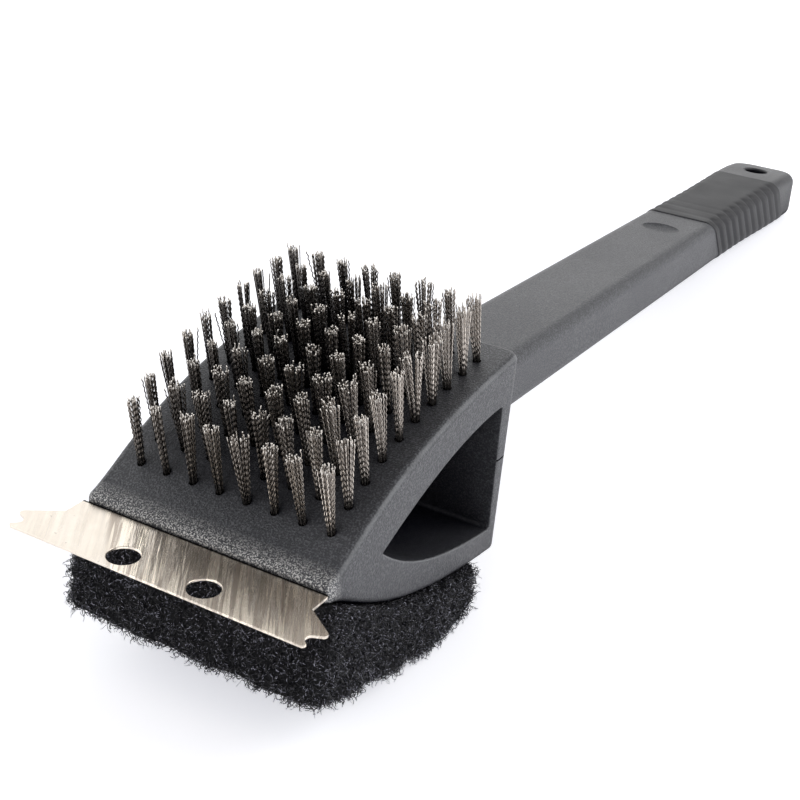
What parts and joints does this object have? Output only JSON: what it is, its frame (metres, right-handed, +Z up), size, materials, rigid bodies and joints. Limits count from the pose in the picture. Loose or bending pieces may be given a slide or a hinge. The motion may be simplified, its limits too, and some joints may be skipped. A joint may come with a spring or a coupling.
{
  "type": "grill cleaning brush",
  "caption": "Long-handled grill brush: wire tufts on a swelling open head, a scraper in its nose, a thick scouring pad below and a ribbed grip with a hanging hole.",
  "frame": {"origin": "on the table plane, on the centre plane of the brush, below the middle of its length as it lies", "axes": "+Z up from the table that the pad and the handle's end rest on, +Y from the scraper towards the handle's end, +X to the right across the head"},
  "size_m": [0.0906, 0.448, 0.0892],
  "materials": {
    "body_plastic": "fine moulded grain, satin",
    "grip_rubber": "matt, ribbed",
    "scraper_steel": "brushed from front to back",
    "screw_steel": "plain zinc",
    "pad_fibre": "loose nylon fibre",
    "glue": "satin",
    "bristle_wire": "crimped wire",
    "anchor_wire": "flat wire"
  },
  "bodies": {
    "root": {"upper_body": "body_plastic", "pad_carrier": "body_plastic", "grip_sleeve": "grip_rubber", "scraper_blade": "scraper_steel", "clamp_screws": "screw_steel", "scouring_pad": "pad_fibre", "pad_adhesive": "glue", "tuft_row_01": "bristle_wire", "tuft_row_02": "bristle_wire", "tuft_row_03": "bristle_wire", "tuft_row_04": "bristle_wire", "tuft_row_05": "bristle_wire", "tuft_row_06": "bristle_wire", "tuft_row_07": "bristle_wire", "tuft_row_08": "bristle_wire", "tuft_row_09": "bristle_wire", "tuft_row_10": "bristle_wire", "tuft_anchors_01": "anchor_wire", "tuft_anchors_02": "anchor_wire", "tuft_anchors_03": "anchor_wire", "tuft_anchors_04": "anchor_wire", "tuft_anchors_05": "anchor_wire", "tuft_anchors_06": "anchor_wire", "tuft_anchors_07": "anchor_wire", "tuft_anchors_08": "anchor_wire", "tuft_anchors_09": "anchor_wire", "tuft_anchors_10": "anchor_wire"}
  },
  "joints": []
}
